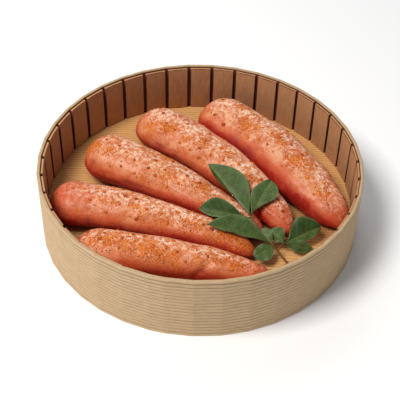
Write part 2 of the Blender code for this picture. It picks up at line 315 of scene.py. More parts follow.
class Finish:
    """A node-based material with short calls for the nodes that it needs."""

    def __init__(self, name, roughness=0.5, **constants):
        self.material = bpy.data.materials.new(name)
        self.material.use_nodes = True
        self.tree = self.material.node_tree
        self.shader = self.tree.nodes["Principled BSDF"]
        self.set("Roughness", roughness)
        for socket, value in constants.items():
            self.set(socket.replace("_", " "), value)
        self.place = self.add("ShaderNodeTexCoord").outputs["Object"]

    def set(self, socket, value):
        """Set or link one input of the shader."""
        self.feed(self.shader, socket, value)

    def feed(self, node, socket, value):
        """Set an input to a value, or link it where the value is another node's output."""
        if isinstance(value, bpy.types.NodeSocket):
            self.tree.links.new(value, node.inputs[socket])
        else:
            node.inputs[socket].default_value = value

    def add(self, kind, inputs=None, **settings):
        """Add a node with its settings and inputs."""
        node = self.tree.nodes.new(kind)
        for name, value in settings.items():
            setattr(node, name, value)
        for socket, value in (inputs or {}).items():
            self.feed(node, socket, value)
        return node

    def stretch(self, scale):
        """The object's own coordinates, multiplied by a vector."""
        return self.add("ShaderNodeMapping", {"Vector": self.place, "Scale": scale}).outputs[0]

    def noise(self, size, detail=2.0, place=None, distortion=0.0):
        """Soft noise whose patches are about size across, from 0 to 1."""
        node = self.add("ShaderNodeTexNoise", {
            "Vector": place or self.place, "Scale": 1 / size, "Detail": detail,
            "Distortion": distortion})
        return node.outputs["Fac"]

    def cells(self, size):
        """Distance from the middle of round cells that are about size across."""
        node = self.add("ShaderNodeTexVoronoi", {"Vector": self.place, "Scale": 1 / size})
        return node.outputs["Distance"]

    def value(self, name):
        """A number stored on the mesh."""
        return self.add("ShaderNodeAttribute", attribute_name=name).outputs["Fac"]

    def remap(self, value, low, high, start=0.0, end=1.0):
        """Spread a value from low and high to start and end, clamped."""
        node = self.add("ShaderNodeMapRange", {
            "Value": value, "From Min": low, "From Max": high, "To Min": start, "To Max": end})
        return node.outputs[0]

    def maths(self, operation, first, second):
        """One sum on two values."""
        return self.add("ShaderNodeMath", {0: first, 1: second}, operation=operation).outputs[0]

    def times(self, first, second):
        """Product of two values."""
        return self.maths("MULTIPLY", first, second)

    def mix(self, share, first, second):
        """Mix two colours by a share."""
        node = self.add("ShaderNodeMix", {0: share, 6: first, 7: second}, data_type="RGBA")
        return node.outputs[2]

    def paint(self, colour, *layers):
        """Colour the shader: a ground colour, then layers of a share and a colour each."""
        for share, tone in layers:
            colour = self.mix(share, colour, tone)
        self.set("Base Color", colour)

    def bump(self, height, distance, strength=0.5, normal=None):
        """Roughen the shader's normal by a height from 0 to 1 that is distance deep."""
        inputs = {"Height": height, "Distance": distance, "Strength": strength}
        if normal is not None:
            inputs["Normal"] = normal
        relief = self.add("ShaderNodeBump", inputs).outputs[0]
        self.set("Normal", relief)
        return relief


# Boards: light, dark and groove tones, stretch of the fibres, and share of the painted shade in the
# grooves
BOARD_TONES = {
    "kraft_ribbed": ((213, 185, 149), (195, 165, 127), (132, 100, 66), (0.25, 0.25, 2.0), 0.95),
    "kraft_cut_edge": ((190, 162, 128), (170, 142, 108), (110, 80, 52), (1.0, 1.0, 1.0), 0.75),
    "kraft_inner": ((196, 146, 104), (172, 122, 84), (120, 76, 48), (2.0, 2.0, 0.2), 0.75),
    "kraft_floor": ((218, 168, 110), (202, 150, 92), (150, 98, 50), (0.2, 2.0, 1.0), 0.75),
}


def board_finish(name):
    """Kraft board: fibres, soft mottling, painted shade in the grooves, and juice stain with
    painted shade where it is stored.
    """
    *tones, fibre_stretch, groove_shade_share = BOARD_TONES[name]
    light, dark, groove = (srgb(*tone) for tone in tones)
    finish = Finish(name, roughness=0.82, Specular_IOR_Level=0.25)
    fibres = finish.noise(1.2 * MM, 4.0, finish.stretch(fibre_stretch))
    finish.paint(
        light,
        (finish.remap(fibres, 0.3, 0.7), dark),
        (finish.remap(finish.noise(14 * MM, 3.0), 0.35, 0.7, 0.0, 0.35), dark),
        (finish.remap(finish.noise(0.7 * MM, 1.0), 0.66, 0.74, 0.0, 0.35), groove),
        # painted shade: the grooves of the ribs darkened by their stored share
        (finish.times(finish.value("groove"), groove_shade_share), groove),
        # juice stain together with painted shade on the floor beside the sacs
        (finish.times(finish.value("juice_and_shade"), 0.62), srgb(118, 48, 26)))
    finish.bump(fibres, 0.12 * MM)
    return finish.material


def mottled_finish(name, roughness, size, spread, first, second, relief, strength):
    """A finish of two tones in soft patches, with a slight relief."""
    finish = Finish(name, roughness=roughness)
    patches = finish.noise(size, 3.0)
    finish.paint(srgb(*first), (finish.remap(patches, *spread), srgb(*second)))
    finish.bump(patches, relief, strength)
    return finish.material


def skin_finish():
    """Moist roe skin: salmon and peach patches, egg grain, chili stains, painted highlights and
    deep red sides with painted shade.
    """
    finish = Finish("roe_skin_moist", Specular_IOR_Level=0.2, Coat_Weight=0.12,
                    Coat_Roughness=0.22, Subsurface_Weight=0.25,
                    Subsurface_Radius=(1.0, 0.25, 0.12), Subsurface_Scale=2.4 * MM)
    patches = finish.noise(9 * MM, 3.0, distortion=0.6)
    mottle = finish.noise(2.6 * MM, 4.0)
    grain = finish.cells(1.0 * MM)
    crumbs = finish.noise(1.1 * MM, 3.0)
    # painted highlight: pale crumbly patches on the upper far side
    pale = finish.times(finish.remap(mottle, 0.56, 0.4), finish.value("pale"))
    dust = finish.times(finish.remap(finish.noise(0.75 * MM), 0.58, 0.66),
                        finish.remap(finish.noise(6 * MM), 0.46, 0.62, 0.1, 0.7))
    # deep red low down, on the near side and between the sacs: the skin's deeper red together with
    # painted shade
    deep = finish.times(finish.value("deep"), finish.remap(mottle, 0.3, 0.7, 0.92, 1.06))
    ragged = finish.remap(finish.noise(2.4 * MM, 5.0), 0.3, 0.7, -0.5, 0.5)
    stain = finish.remap(finish.maths("ADD", finish.value("chili"), ragged), 0.46, 0.7)
    thin = finish.remap(finish.noise(1.0 * MM, 3.0), 0.36, 0.6, 0.45, 0.95)
    gold = finish.mix(finish.remap(finish.noise(1.7 * MM, 3.0), 0.42, 0.58),
                      srgb(190, 78, 6), srgb(210, 122, 26))
    finish.paint(
        srgb(190, 97, 56),
        (finish.remap(patches, 0.36, 0.6), srgb(214, 146, 104)),
        (finish.times(finish.value("warmth"), 0.5), srgb(206, 118, 62)),
        (finish.remap(mottle, 0.54, 0.74, 0.0, 0.35), srgb(182, 84, 38)),
        (finish.remap(grain, 0.4, 0.1, 0.0, 0.22), srgb(232, 170, 134)),
        # painted highlight
        (finish.times(pale, finish.remap(crumbs, 0.4, 0.62, 0.3, 0.85)), srgb(250, 222, 198)),
        (finish.times(dust, finish.value("dusted")), srgb(190, 84, 18)),
        (finish.times(finish.value("end"), 0.85), srgb(186, 62, 28)),
        # deep red layers: the skin's deeper red and painted shade
        (finish.remap(deep, 0.0, 0.5, 0.0, 0.6), srgb(200, 86, 44)),
        (finish.remap(deep, 0.35, 0.95, 0.0, 0.95), srgb(158, 22, 6)),
        (finish.remap(deep, 0.8, 1.3, 0.0, 0.5), srgb(112, 10, 3)),
        (finish.value("blush"), srgb(140, 44, 46)),
        # painted highlight along one sac's ridge
        (finish.times(finish.value("seam"), 0.7), srgb(236, 172, 150)),
        (finish.times(stain, thin), gold))
    finish.set("Roughness", finish.maths(
        "MAXIMUM", finish.remap(mottle, 0.3, 0.7, 0.42, 0.6),
        finish.remap(finish.value("deep"), 0.2, 0.8, 0.4, 0.75)))
    eggs = finish.bump(finish.remap(grain, 0.0, 0.6, 1.0, 0.0), 0.25 * MM, 0.6)
    finish.bump(crumbs, 0.3 * MM, 0.45, eggs)
    return finish.material


def chili_finish(name, pale, dark, roughness):
    """Chili, from a pale to a dark tone that each grain has stored."""
    finish = Finish(name, roughness=roughness, Specular_IOR_Level=0.2)
    patches = finish.noise(0.9 * MM, 3.0)
    finish.paint(srgb(*pale), (finish.value("tone"), srgb(*dark)),
                 (finish.remap(patches, 0.46, 0.6, 0.0, 0.8), srgb(*dark)))
    finish.bump(patches, 0.08 * MM)
    return finish.material


def leaf_finish():
    """Leaf: dark or grey-green halves as painted light and shade, with paler veins, fine mottling,
    painted sheen specks and lighter edges.
    """
    finish = Finish("leaf_glossy", Specular_IOR_Level=0.22, Coat_Weight=0.04, Coat_Roughness=0.3)
    patches = finish.remap(finish.noise(5 * MM, 3.0), 0.35, 0.65)
    fine = finish.noise(0.9 * MM, 3.0)
    # painted light and shade of each half, from 0 dark to 1 light
    painted_light = finish.value("painted_light")
    light = finish.mix(patches, srgb(68, 88, 38), srgb(84, 106, 54))
    # painted sheen: fine light specks, stronger on the lighter half
    grains = finish.remap(finish.noise(0.7 * MM), 0.56, 0.66, 0.0, 0.55)
    finish.paint(
        finish.mix(patches, srgb(30, 50, 8), srgb(42, 68, 18)),
        (painted_light, light),
        (finish.remap(fine, 0.4, 0.7, 0.0, 0.35), srgb(38, 52, 18)),
        (finish.times(grains, finish.remap(painted_light, 0.0, 1.0, 0.1, 1.0)), srgb(118, 138, 104)),
        (finish.times(finish.value("vein"), 0.3), srgb(112, 112, 56)),
        (finish.times(finish.value("edge"), 0.4), srgb(122, 138, 96)))
    finish.set("Roughness", finish.remap(fine, 0.3, 0.7, 0.36, 0.5))
    finish.bump(fine, 0.08 * MM)
    return finish.material


def water_finish():
    """Clear water."""
    finish = Finish("water_clear", roughness=0.03, IOR=1.33, Transmission_Weight=1.0)
    finish.paint(srgb(250, 252, 252), (finish.noise(2 * MM), srgb(240, 248, 244)))
    return finish.material


# Tray

def corner_angles():
    """Angles of the tray's corners; the last panel, at the seam, is a narrow one."""
    return [FIRST_CORNER + PANEL_TURN * step for step in range(PANEL_COUNT)]


def panels():
    """Unit vectors in plan to both corners of each panel."""
    corners = [Vector((math.cos(angle), math.sin(angle))) for angle in corner_angles()]
    return zip(corners, corners[1:] + corners[:1])


def rib_profile(phase):
    """Share of the full depth at a phase of one rib: 1 in the narrow valley, 0 on the crest."""
    return 1 - abs(math.sin(math.pi * phase)) ** RIB_SHARPNESS


def wall_profile():
    """The wall's section as (inset, height, groove share, material), once round."""
    count = math.floor(SECOND_RIB / WALL_RIB)
    low = SECOND_RIB - WALL_RIB * count
    ribs = [(low + WALL_RIB * index, WALL_RIB, FAINT_RIBS) for index in range(count)]
    ribs.append((SECOND_RIB, TOP_RIB - SECOND_RIB, 1.0))
    section = [(0.0, 0.0, 0.0, 0), (0.0, low * 0.6, 0.0, 0)]
    for start, pitch, strength in ribs:
        for phase in RIB_PHASES:
            share = rib_profile(phase)
            section.append((WALL_RIB_DEPTH * share, start + pitch * phase, share * strength, 0))
    section += [(WALL_RIB_DEPTH * 1.1, TOP_RIB, 1.0, 0),
                (WALL_RIB_DEPTH * 0.4, TOP_RIB + 0.25 * MM, 0.5, 0),
                (0.0, TOP_RIB + 0.6 * MM, 0.0, 0)]
    for step in range(RIM_STEPS + 1):
        angle = math.pi / 2 * step / RIM_STEPS
        section.append((RIM_ROUNDING * (1 - math.cos(angle)),
                        TRAY_HEIGHT - RIM_ROUNDING * (1 - math.sin(angle)),
                        0.0, 2 if step > 1 else 0))
    return section + [(BOARD * 0.65, TRAY_HEIGHT, 0.0, 2),
                      (BOARD - 0.15 * MM, TRAY_HEIGHT - 0.03 * MM, 0.0, 2),
                      (BOARD, TRAY_HEIGHT - 0.15 * MM, 0.0, 2),
                      # the inner face behind the tabs takes the painted slot shade
                      (BOARD, LEDGE_HEIGHT + 0.5 * MM, 0.0, 1),
                      (BOARD, LEDGE_HEIGHT - 0.2 * MM, 0.0, 1),
                      (BOARD, 0.0, 0.0, 0)]


def build_wall(*boards):
    """The outer board with its ribs, rounded rim and plain inner face."""
    section = wall_profile()
    rows = len(section)
    slack = 1 / math.cos(PANEL_TURN / 2)
    points = []
    grooves = []
    for first, second in panels():
        for share in PANEL_SHARES:
            way = first * (1 - share) + second * share
            spot = (way * TRAY_RADIUS).to_3d() * RIB_NOISE
            for inset, height, groove, _ in section:
                uneven = noise.noise(spot + Vector((0, 0, height * HEIGHT_NOISE)))
                depth = inset * (1 + RIB_UNEVENNESS * groove * uneven)
                plan = way * (TRAY_RADIUS - slack * depth)
                points.append((plan.x, plan.y, height))
                grooves.append(groove * (1 + GROOVE_UNEVENNESS * uneven))
    faces = []
    for near in range(0, len(points), rows):
        far = (near + rows) % len(points)
        for row in range(rows):
            above = (row + 1) % rows
            faces.append((near + row, far + row, far + above, near + above))
    wall = new_piece("wall_board", points, faces, *boards, angle=CREASE_ANGLE)
    materials = [row[3] for row in section] * (len(points) // rows)
    wall.data.polygons.foreach_set("material_index", materials)
    # groove share, read by the finish as painted shade in the grooves
    store(wall, "groove", np.clip(grooves, 0, 1))
    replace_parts(wall, "tray_wall")


def build_tabs(*boards):
    """The row of inner tabs that stand inside the wall, each a rounded slab."""
    draw = random.Random(5)
    narrowing = math.tan(PANEL_TURN / 2)
    builder = bmesh.new()
    for first, second in panels():
        start = first * TRAY_RADIUS
        end = second * TRAY_RADIUS
        length = (end - start).length
        run = (end - start) / length
        inward = Vector((-run.y, run.x))
        margin = SLOT_WIDTH / 2 + draw.uniform(0, TAB_UNEVENNESS)
        top = LEDGE_HEIGHT + draw.uniform(-TAB_UNEVENNESS, TAB_UNEVENNESS)
        top -= FRONT_TAB_DROP * max(0.0, -(start + end).y / (2 * TRAY_RADIUS))
        lean = draw.uniform(0, TAB_UNEVENNESS)
        corners = {}
        for side in (0, 1):
            for depth, inset in enumerate((BOARD + TAB_GAP, 2 * BOARD)):
                short = margin + inset * narrowing
                along = length - short if side else short
                for level, height in enumerate((FLOOR_TOP + GAP, top)):
                    plan = start + run * along + inward * (inset - lean * level)
                    corners[side, depth, level] = builder.verts.new((*plan, height))
        edges = []
        for fixed in range(3):
            for value in (0, 1):
                loop = []
                for key in ([0, 0], [0, 1], [1, 1], [1, 0]):
                    key.insert(fixed, value)
                    loop.append(corners[tuple(key)])
                face = builder.faces.new(loop)
                # the end faces, seen in the slots, take the painted slot shade
                face.material_index = int(fixed == 0)
                edges += face.edges
        bmesh.ops.bevel(builder, geom=list(set(edges)), offset=TAB_ROUNDING, segments=2,
                        profile=0.5, affect="EDGES", clamp_overlap=True)
    bmesh.ops.recalc_face_normals(builder, faces=builder.faces)
    mesh = bpy.data.meshes.new("wall_tabs")
    builder.to_mesh(mesh)
    builder.free()
    tabs = dress(mesh, boards, CREASE_ANGLE)
    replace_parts(tabs, "tray_wall")


def build_floor(board, skins):
    """The raised floor: a ribbed disc with a turned-down skirt, with juice stain and painted shade
    beside the sacs.
    """
    tree = point_tree(skins, 9)
    radius = TRAY_RADIUS * math.cos(PANEL_TURN / 2) - BOARD - GAP
    ribs = math.floor(radius / FLOOR_RIB)
    rows = [(FLOOR_RIB * (rib + phase), rib_profile(phase))
            for rib in range(-ribs, ribs) for phase in RIB_PHASES]
    rows.append((FLOOR_RIB * ribs, 1.0))
    points = []
    grooves = []
    juice_and_shade = []
    for level, groove in rows:
        reach = math.sqrt(radius ** 2 - level ** 2)
        for step in range(FLOOR_STEPS + 1):
            x = reach * (2 * step / FLOOR_STEPS - 1)
            depth = groove * (1 + 0.4 * noise.noise(Vector((x * 50, level * 900, 3.0))))
            points.append((x, level, FLOOR_TOP - FLOOR_RIB_DEPTH * min(1.0, depth)))
            grooves.append(depth)
            edge = noise.noise(Vector((x * 160, level * 160, 7.0)))
            juice_and_shade.append(tree.find(points[-1])[2] - JUICE_AND_SHADE_UNEVENNESS * edge)
    width = FLOOR_STEPS + 1
    last = len(rows) - 1
    faces = []
    for corner in range(last * width):
        if corner % width < FLOOR_STEPS:
            faces.append((corner, corner + 1, corner + width + 1, corner + width))
    previous = list(range(width))
    previous += [row * width + FLOOR_STEPS for row in range(1, last + 1)]
    previous += [last * width + step for step in range(FLOOR_STEPS - 1, -1, -1)]
    previous += [row * width for row in range(last - 1, 0, -1)]
    edge_points = [points[index] for index in previous]
    shrink = 1 - FLOOR_BOARD / radius
    for scale, height in ((1.0, 0.0), (shrink, 0.0), (shrink, FLOOR_TOP - FLOOR_BOARD)):
        base = len(points)
        points += [(x * scale, y * scale, height) for x, y, _ in edge_points]
        ring = list(range(base, len(points)))
        for index in range(len(ring)):
            after = (index + 1) % len(ring)
            faces.append((previous[after], previous[index], ring[index], ring[after]))
        previous = ring
    faces.append(tuple(previous[::-1]))
    floor = new_piece("floor_board", points, faces, board, angle=CREASE_ANGLE)
    plain = np.zeros(len(points) - len(grooves))
    # groove share, read by the finish as painted shade in the grooves
    store(floor, "groove", np.append(np.clip(grooves, 0, 1), plain))
    store(floor, "juice_and_shade", np.append(fade(np.array(juice_and_shade), JUICE_AND_SHADE_REACH), plain))
    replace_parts(floor, "tray_floor")


# Sacs

@dataclass
class Sac:
    """One sac: its ends in plan and half width, given in millimetres, and its shares."""

    name: str
    head: Vector
    tail: Vector
    bow: float
    half_width: float
    tail_share: float
    taper: float
    tail_rounding: float
    height_share: float
    seed: int

    def __post_init__(self):
        self.head = millimetres(*self.head)
        self.tail = millimetres(*self.tail)
        self.half_width *= MM
        self.length = (self.tail - self.head).length


SACS = [
    Sac("roe_1", (-71.8, -53.1), (44.5, -69.0), 0.023, 13.8, 0.48, 2.4, 2.3, 0.76, 11),
    Sac("roe_2", (-90.5, -14.9), (33.0, -49.0), 0.044, 15.2, 0.45, 2.2, 1.9, 0.76, 12),
    Sac("roe_3", (-71.5, 29.4), (38.5, -32.5), 0.023, 17.8, 0.36, 1.8, 1.8, 0.78, 13),
    Sac("roe_4", (-41.0, 61.9), (54.5, -31.5), 0.065, 16.5, 0.50, 2.1, 2.2, 0.77, 14),
    Sac("roe_5", (0.8, 73.6), (85.7, -25.8), 0.072, 17.2, 0.52, 3.6, 1.5, 0.77, 15),
]

# Folds and furrows of each sac: a path of (share of the length, degrees round the section),
# the width and the depth in millimetres; a negative depth stands proud
CREASES = {
    "roe_1": [(((0.68, 116), (0.66, 140), (0.63, 165), (0.61, 190)), 2.2, 0.8),
              (((0.72, 128), (0.71, 150)), 3.0, -0.5),
              (((0.56, 90), (0.62, 96), (0.68, 90)), 1.6, -0.6),
              (((0.57, 103), (0.62, 110), (0.67, 106)), 1.2, 0.4),
              (((0.89, 15), (0.90, 40), (0.92, 68)), 1.2, 0.9)],
    "roe_2": [(((0.215, 140), (0.22, 165), (0.225, 190)), 0.9, 0.35),
              (((0.375, 160), (0.38, 190)), 0.8, 0.3)],
    "roe_3": [(((0.09, 175), (0.10, 150), (0.12, 128)), 1.3, 0.45),
              (((0.28, 172), (0.36, 166), (0.44, 166)), 1.6, 0.3)],
    "roe_4": [(((0.16, 165), (0.24, 168), (0.32, 160)), 1.4, 0.35),
              (((0.30, 55), (0.55, 58), (0.80, 55)), 0.9, 0.35)],
}

# Wine-red patches under the skin: share, degrees and radius in millimetres
BLUSHES = {
    "roe_1": [(0.65, 150, 2.6), (0.91, 40, 2.0)],
    "roe_2": [(0.22, 172, 2.4), (0.38, 172, 2.0), (0.06, 150, 3.0)],
    "roe_3": [(0.31, 172, 4.5), (0.37, 168, 4.0), (0.10, 150, 2.6)],
    "roe_4": [(0.21, 172, 4.0), (0.31, 175, 3.0)],
    "roe_5": [(0.40, 165, 4.5), (0.30, 160, 3.5)],
}
BLUSH_STRENGTH = 0.6

# Heaps of chili: share, degrees, radius in millimetres and strength
CHILI_PATCHES = {
    "roe_1": [(0.10, 100, 4, 0.9), (0.18, 88, 6, 1.0), (0.28, 108, 6, 0.8), (0.37, 98, 7, 1.0),
              (0.42, 122, 5, 1.0), (0.51, 124, 6, 0.7), (0.63, 115, 4, 0.9), (0.70, 105, 4, 0.9),
              (0.79, 106, 5, 0.8)],
    "roe_2": [(0.15, 138, 4, 0.5), (0.27, 115, 6, 0.6), (0.43, 112, 6, 0.7), (0.45, 130, 4, 1.0),
              (0.57, 128, 6, 0.7), (0.72, 110, 8, 0.7), (0.86, 95, 9, 0.9), (0.95, 100, 6, 1.0)],
    "roe_3": [(0.05, 105, 7, 1.0), (0.15, 108, 4, 0.9), (0.15, 76, 4, 0.9), (0.33, 68, 6, 0.7),
              (0.41, 54, 5, 1.0), (0.38, 140, 5, 0.7), (0.46, 125, 5, 0.7), (0.48, 100, 6, 0.9),
              (0.66, 85, 8, 0.8)],
    "roe_4": [(0.13, 128, 6, 0.7), (0.21, 114, 6, 1.0), (0.33, 112, 5, 0.6), (0.40, 96, 4, 1.0),
              (0.46, 130, 5, 0.6), (0.52, 82, 5, 0.8), (0.72, 90, 5, 0.9)],
    "roe_5": [(0.19, 72, 5, 0.9), (0.31, 108, 7, 1.0), (0.30, 66, 3, 0.8), (0.45, 90, 4, 1.0),
              (0.52, 94, 4, 1.0), (0.63, 98, 7, 1.0), (0.69, 86, 4, 0.9), (0.85, 112, 6, 0.7)],
}

# Finer chili: grains on each sac, seed, radii in millimetres, flatness, share that keeps to
# the heaps, and arc round the section in degrees
SPECKS = (360, 1, (0.28, 0.6), 0.5, 0.4, (26, 160))
POWDER = (2600, 2, (0.16, 0.4), 0.7, 0.85, (12, 178))

# Spot of chili round each large flake: radius in millimetres and strength
FLAKE_SPOT = (2.0, 0.55)

# How orange each sac's skin is, from pink to orange
WARMTH = {"roe_1": 1.0, "roe_2": 0.5, "roe_3": 0.55, "roe_4": 0.3, "roe_5": 0.1}

# Reach of the deep red and its painted shade: above the floor, and from a neighbouring sac
RED_AND_SHADE_FROM_FLOOR = (3.0 * MM, 13.0 * MM)
SAC_RED_AND_SHADE_FROM_FLOOR = {"roe_1": (4.0 * MM, 17.0 * MM), "roe_5": (4.0 * MM, 14.5 * MM)}
RED_AND_SHADE_FROM_SAC = (2.5 * MM, 9.0 * MM)

# Reach of the deep red and its painted shade round the section, in degrees: from the near
# side, signs turned, and beyond the ridge of one sac
NEAR_SIDE = (-180, -134)
NEAR_SIDES = {"roe_1": (-176, -116), "roe_4": (-188, -146), "roe_5": (-168, -128)}
BEYOND_RIDGE = (18, 34)

# Deep red spots of painted shadow: share, degrees, radius in millimetres and strength
PAINTED_SHADOW_SPOTS = {
    "roe_4": [(0.90, 135, 8, 0.6), (0.96, 100, 6, 0.5)],
    "roe_5": [(0.74, 186, 6, 1.5), (0.79, 180, 7, 1.5), (0.84, 174, 7, 1.3), (0.89, 178, 6, 0.9)],
}

# Reach of the red at a head and at a tail, as a share of the length
RED_HEAD = 0.05
RED_HEADS = {"roe_2": 0.18, "roe_3": 0.06}
RED_TAIL = 0.1

# Reach of the orange-red on the far side, in degrees round the section
FAR_SIDE = (8, 40)

# Where the painted highlight and the dust are strongest, and their reach, in degrees
PAINTED_HIGHLIGHT_PLACE = (74, 42)
DUST_PLACE = (95, 62)


def sac_half_width(sac, share):
    """Half width of a sac at a share of its length, without and with its rounded ends."""
    head = min(LONGEST_END, HEAD_ROUNDING * sac.half_width / sac.length)
    tail = min(LONGEST_END, sac.tail_rounding * sac.tail_share * sac.half_width / sac.length)
    width = sac.half_width * (1 - (1 - sac.tail_share) * share ** sac.taper)
    cap = 1.0
    if share < head:
        cap = math.sqrt(max(0.0, 1 - (1 - share / head) ** 2))
    if share > 1 - tail:
        cap *= math.sqrt(max(0.0, 1 - ((share - 1 + tail) / tail) ** 2))
    return width, width * cap


def sac_centre(sac, share):
    """Plan point of a sac's bowed centre line, and the direction across it."""
    run = sac.tail - sac.head
    across = Vector((-run.y, run.x)) / sac.length
    point = sac.head + run * share + across * (4 * share * (1 - share) * sac.bow * sac.length)
    slope = run + across * (4 * (1 - 2 * share) * sac.bow * sac.length)
    slope.normalize()
    return point, Vector((-slope.y, slope.x))


def swell(share, reach):
    """Smooth rise and fall over a reach of the length, from 0 to 1 and back."""
    first, last = reach
    return math.sin(math.pi * (share - first) / (last - first)) if first < share < last else 0.0


def ridge_height(share, turn):
    """Height of the long seam that runs along the far upper side of one sac."""
    across = math.exp(-((turn - RIDGE_TURN) / RIDGE_SPREAD) ** 2)
    return RIDGE_HEIGHT * across * swell(share, RIDGE_REACH) ** 0.5


def lean_relief(share, turn):
    """Relief that shifts the tail half of one sac sideways and lets its lower side sag."""
    side = turn - SAG_TURN
    sag = SAG * math.exp(-(side / SAG_SPREAD) ** 2)
    return swell(share, LEAN_REACH) * (LEAN * math.cos(side) + sag)


def sac_point(sac, share, turn):
    """Point on a sac's skin; turn goes round the section from its far side over the top."""
    plain_width, width = sac_half_width(sac, share)
    centre, across = sac_centre(sac, share)
    plain_rise = plain_width * sac.height_share
    rise = width * sac.height_share
    middle = REST_HEIGHT + plain_rise * MIDDLE_LIFT - END_DROP * (plain_rise - rise)
    plan = centre + across * (width * math.cos(turn))
    point = Vector((plan.x, plan.y, middle + rise * math.sin(turn)))
    outward = Vector((across.x * math.cos(turn), across.y * math.cos(turn), math.sin(turn)))
    lump = noise.noise(point / LUMP_SIZE + Vector((sac.seed, 0.0, 0.0))) * LUMP_HEIGHT
    relief = lump - LUMP_HEIGHT * LUMP_INSET
    if sac.name == RIDGED_SAC:
        relief += ridge_height(share, turn)
    if sac.name == LEANING_SAC:
        relief += lean_relief(share, turn)
    point += outward * relief * min(1.0, width / (RELIEF_START * sac.half_width))
    point.z = max(point.z, REST_HEIGHT)
    return point


def unrolled(sac, share, degrees):
    """Place on the skin laid flat, in metres: along the sac, and round it."""
    return np.array((share * sac.length, math.radians(degrees) * sac.half_width))


def path_distance(flat, path):
    """Distance of each flat point from a path of straight runs."""
    nearest = np.full(flat.shape[0], np.inf)
    for start, end in zip(path, path[1:]):
        run = end - start
        share = np.clip((flat - start) @ run / (run @ run), 0, 1)
        gap = np.linalg.norm(flat - (start + share[:, None] * run), axis=1)
        nearest = np.minimum(nearest, gap)
    return nearest


class Flake:
    """Place and outline of one large chili flake, drawn as the solid sac draws it."""

    def __init__(self, draw, share, turn):
        self.share = share
        self.turn = turn
        radius = draw.uniform(*FLAKE_RADIUS)
        self.start = draw.uniform(0, math.tau)
        self.reaches = [radius * draw.uniform(*FLAKE_OUTLINE) for _ in range(FLAKE_SIDES)]
        self.rise = draw.uniform(*FLAKE_RISE)


def draw_flakes(sac):
    """The large flakes of a sac, at the places where the solid has them."""
    draw = random.Random(sac.seed)
    flakes = []
    placed = []
    while len(placed) < FLAKES_PER_SAC:
        share = draw.uniform(*FLAKE_REACH)
        turn = draw.uniform(*FLAKE_ARC)
        spot = sac_point(sac, share, turn)
        if all((spot - other).length > FLAKE_SPACING for other in placed):
            placed.append(spot)
            flakes.append(Flake(draw, share, turn))
    return flakes


